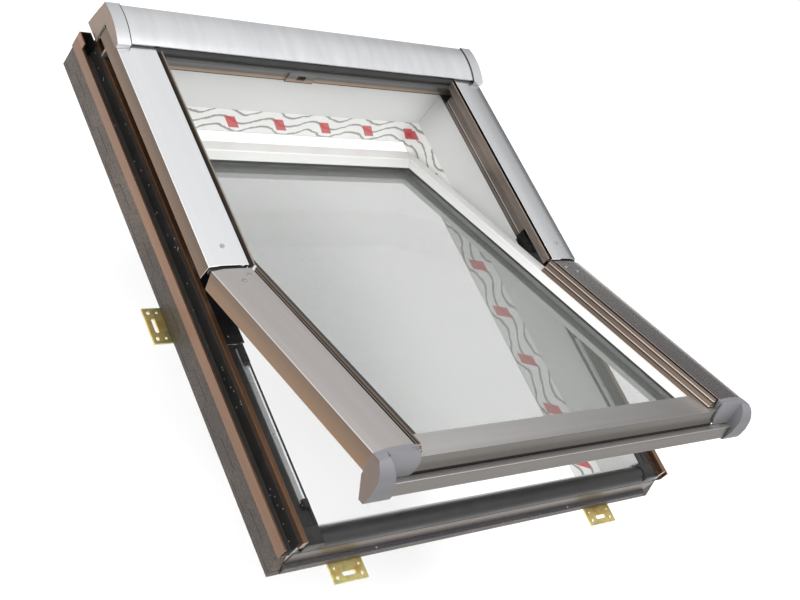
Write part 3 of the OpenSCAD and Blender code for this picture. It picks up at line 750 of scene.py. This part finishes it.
# ---------------------------------------------------------------- white sash
# Four slimmer PVC bars of the same make, mitred and welded, and the glazing beads on the
# room side that hold the glass.
sash_plastic = white_plastic("white_sash_plastic", to_flat_sash)
for node in ("sash_head", "sash_sill", "sash_stile_left", "sash_stile_right", "glazing_bead"):
    rounded(node, sash_plastic, 0.0012, 3)

# ---------------------------------------------------------------- glazing
# Two panes of 4 mm float glass with a faint grey-green tint, sealed to an aluminium spacer.
# They lie in the rebate of the sash on a rubber wedge, and the beads press them home.
glass = Finish("glass", Roughness=0.02, IOR=1.5, Alpha=0.2)
points = glass.place(to_flat_sash)
tint = glass.noise(points, 3.0, 2.0)
glass.feed("Base Color", glass.blend(srgb(118, 122, 119), srgb(128, 132, 128), tint))
for node in ("outer_pane", "inner_pane"):
    rounded(node, glass, 0.0004)

spacer_metal = Finish("spacer_metal", Metallic=1.0)
points = spacer_metal.place(to_flat_sash)
grain = spacer_metal.noise(points, 400.0, 2.0)
spacer_metal.feed("Base Color", spacer_metal.blend(srgb(140, 141, 142), srgb(170, 171, 172), grain))
spacer_metal.feed("Roughness", 0.35 + spacer_metal.noise(points, 90.0) * 0.1)
rounded("glass_spacer", spacer_metal, 0.0003)

# ---------------------------------------------------------------- bottom rail and drip ledge
# Folded aluminium across the lower end of the sash, with the ledge under it that sheds
# the water past the sill.
slot_z = 0.0912
slot_y = -0.4546
rail_lacquer = Finish("rail_lacquer", Metallic=0.88, Coat_Weight=0.15)
points = rail_lacquer.place(to_flat_sash)
streak = rail_lacquer.noise(rail_lacquer.stretched(points, (1.6, 70, 70)), 1.0, 3.0)
flake = rail_lacquer.noise(points, 2400.0, 1.0)
# the faces that stand upright are painted darker than the top: painted shade
front = abs(rail_lacquer.facing("Z")).rising(0.75, 0.45)
pale = rail_lacquer.blend(srgb(184, 181, 178), srgb(206, 203, 200), streak)
front_painted_shade = rail_lacquer.blend(srgb(104, 100, 96), srgb(120, 116, 111), streak)
# painted shadow darkens the slot between the rail and the ledge
under_rail = 1 - rail_lacquer.axis(points, "Z").rising(slot_z, slot_z + 0.0016)
behind_ledge = rail_lacquer.axis(points, "Y").rising(slot_y, slot_y + 0.001)
lacquered = rail_lacquer.blend(pale, front_painted_shade, front)
with_painted_slot_shadow = rail_lacquer.blend(lacquered, srgb(14, 14, 15), under_rail * behind_ledge)
rail_lacquer.feed("Base Color", with_painted_slot_shadow)
rail_lacquer.feed("Roughness", 0.30 + flake * 0.08)
rail_lacquer.bump(flake, 0.04, 0.0002)
for node in ("bottom_rail", "drip_ledge"):
    rounded(node, rail_lacquer, 0.0006)

# ---------------------------------------------------------------- sash end caps
# Moulded grey plastic caps that close the lower ends of the sash covers. Each is pushed on over the end
# of the bottom rail. Its grey is painted darker towards the foot as painted shade, and its outer side is
# painted brown as a painted reflection.
cap_foot = 0.065
cap_top = 0.130
cap_plastic = Finish("cap_plastic", IOR=1.5)
points = cap_plastic.place(to_flat_sash)
grain = cap_plastic.noise(points, 1500.0, 2.0)
tone = cap_plastic.noise(points, 20.0, 3.0)
height = cap_plastic.axis(points, "Z").rising(cap_foot, cap_top)
# the outer side is painted brown, a painted reflection as on the cover walls
outer_side_reflection_mask = (cap_plastic.facing("X") * cap_plastic.axis(points, "X") * 2.6).rising(0.6, 0.85)
# the grey is painted lighter towards the top and darker at the foot: painted light and shade
grey_with_painted_shade = cap_plastic.blend(srgb(70, 69, 70), srgb(118, 118, 122), height * 0.8 + tone * 0.2)
cap_plastic.feed("Base Color", cap_plastic.blend(grey_with_painted_shade, srgb(104, 90, 82), outer_side_reflection_mask))
cap_plastic.feed("Roughness", 0.36 + grain * 0.15)
cap_plastic.bump(grain, 0.12, 0.0003)
for node in ("sash_cap_left", "sash_cap_right"):
    rounded(node, cap_plastic, 0.0010, 3)

# ---------------------------------------------------------------- screws
# Small pan-head screws of turned stainless steel. They go through the covers into the
# carriers, one at each upper cover and two at each lower one.
screw_metal = Finish("screw_metal", Metallic=1.0)
points = screw_metal.place()
turned_marks = screw_metal.noise(points, 1800.0, 2.0)
screw_metal.feed("Base Color", screw_metal.blend(srgb(150, 150, 150), srgb(196, 196, 196), turned_marks))
screw_metal.feed("Roughness", 0.25 + turned_marks * 0.15)
for node in ("upper_cover_screws", "lower_cover_screws"):
    rounded(node, screw_metal, 0.0004)

# ---------------------------------------------------------------- lock and handle
# A cast aluminium lever on a lock case, screwed to the room side of the sash's head. It
# turns through a quarter and draws the latch bolt.
handle_metal = Finish("handle_metal", Metallic=0.9)
points = handle_metal.place(to_flat_sash)
grain = handle_metal.noise(points, 1200.0, 2.0)
cloud = handle_metal.noise(points, 30.0)
handle_metal.feed("Base Color", handle_metal.blend(srgb(186, 187, 188), srgb(208, 208, 209), cloud))
handle_metal.feed("Roughness", 0.34 + grain * 0.1)
handle_metal.bump(grain, 0.06, 0.0002)
for node in ("handle", "lock_case"):
    rounded(node, handle_metal, 0.0012, 3)
